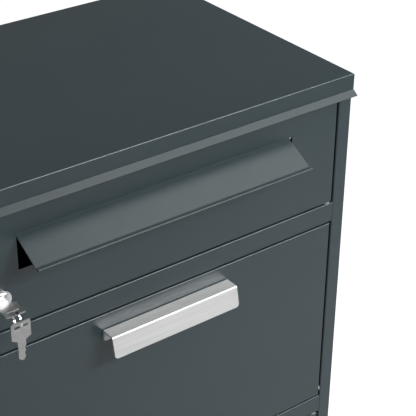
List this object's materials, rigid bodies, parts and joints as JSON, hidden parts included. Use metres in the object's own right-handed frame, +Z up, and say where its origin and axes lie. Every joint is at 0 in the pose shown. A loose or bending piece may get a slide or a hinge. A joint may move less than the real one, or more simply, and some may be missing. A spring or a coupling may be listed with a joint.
{
  "type": "letter and parcel mailbox",
  "caption": "Free-standing steel mailbox with a flap slot over a letter compartment, a tilting parcel hopper with a bar handle, a lockable parcel store, and keys in the lock.",
  "frame": {"origin": "centre of the base footprint, on the surface that the cabinet stands on", "axes": "+Z up, -Y out of the front with the doors, +X to the right seen from the front"},
  "size_m": [0.508, 0.384, 1],
  "materials": {
    "powder_coat": "semi-matt anthracite powder coat",
    "zinc_plate": "galvanised sheet and zinc-plated hardware",
    "stainless": "brushed along its length",
    "nickel_key": "nickel-plated, lightly worn",
    "chrome_plate": "polished chrome",
    "rubber_stop": "matt black",
    "nylon_bush": "natural nylon"
  },
  "bodies": {
    "cabinet": {"side_panel_left": "powder_coat", "side_panel_right": "powder_coat", "top_cap": "powder_coat", "header_rail": "powder_coat", "back_panel": "powder_coat", "floor_panel": "powder_coat", "upper_rail": "powder_coat", "lower_rail": "powder_coat", "bottom_rail": "powder_coat", "letter_shelf": "powder_coat", "anti_theft_baffle": "zinc_plate", "baffle_rivets": "zinc_plate", "hinge_bushes": "nylon_bush", "stop_tabs": "powder_coat", "stop_buffers": "rubber_stop"},
    "letter_door": {"letter_door": "powder_coat", "letter_hinge_pins": "zinc_plate", "flap_brackets": "zinc_plate", "flap_rod": "zinc_plate", "letter_lock_body": "chrome_plate", "letter_lock_nut": "zinc_plate"},
    "flap": {"slot_flap": "powder_coat"},
    "letter_lock": {"letter_lock_plug": "chrome_plate", "letter_lock_cam": "zinc_plate", "letter_cam_screw": "zinc_plate"},
    "key": {"lock_key": "nickel_key"},
    "ring": {"key_ring": "chrome_plate"},
    "spare_key": {"spare_key": "nickel_key"},
    "hopper": {"hopper_door": "powder_coat", "hopper_tray": "zinc_plate", "hopper_cheek_left": "zinc_plate", "hopper_cheek_right": "zinc_plate", "tray_rivets": "zinc_plate", "hopper_hinge_pins": "zinc_plate", "handle": "stainless", "handle_screws": "zinc_plate"},
    "parcel_door": {"parcel_door": "powder_coat", "parcel_door_stiffener": "powder_coat", "parcel_hinge_pins": "zinc_plate", "parcel_lock_body": "chrome_plate", "parcel_lock_nut": "zinc_plate"},
    "parcel_lock": {"parcel_lock_plug": "chrome_plate", "parcel_lock_cam": "zinc_plate", "parcel_cam_screw": "zinc_plate"}
  },
  "joints": [
    {"name": "letter_door_hinge", "type": "hinge", "parent": "cabinet", "child": "letter_door", "pos_m": [0.227, -0.1675, 0.9], "axis": [0, 0, 1], "range_deg": [0, 105]},
    {"name": "flap_hinge", "type": "hinge", "parent": "letter_door", "child": "flap", "pos_m": [0, -0.1697, 0.9465], "axis": [1, 0, 0], "range_deg": [-20, 55]},
    {"name": "letter_lock_turn", "type": "hinge", "parent": "letter_door", "child": "letter_lock", "pos_m": [-0.19, -0.1725, 0.883], "axis": [0, -1, 0], "range_deg": [0, 90]},
    {"name": "key_pull", "type": "slide", "parent": "letter_lock", "child": "key", "axis": [0, -1, 0], "range_m": [0, 0.03]},
    {"name": "ring_swing", "type": "hinge", "parent": "key", "child": "ring", "pos_m": [-0.19, -0.1969, 0.883], "axis": [1, 0, 0], "range_deg": [-40, 4]},
    {"name": "spare_key_swing", "type": "hinge", "parent": "ring", "child": "spare_key", "pos_m": [-0.19, -0.20303, 0.87096], "axis": [1, 0, 0], "range_deg": [-30, 30]},
    {"name": "hopper_hinge", "type": "hinge", "parent": "cabinet", "child": "hopper", "pos_m": [0, -0.1675, 0.5792], "axis": [1, 0, 0], "range_deg": [0, 50]},
    {"name": "parcel_door_hinge", "type": "hinge", "parent": "cabinet", "child": "parcel_door", "pos_m": [0.227, -0.1675, 0.3], "axis": [0, 0, 1], "range_deg": [0, 105]},
    {"name": "parcel_lock_turn", "type": "hinge", "parent": "parcel_door", "child": "parcel_lock", "pos_m": [-0.19, -0.1725, 0.2846], "axis": [0, -1, 0], "range_deg": [0, 90]}
  ]
}
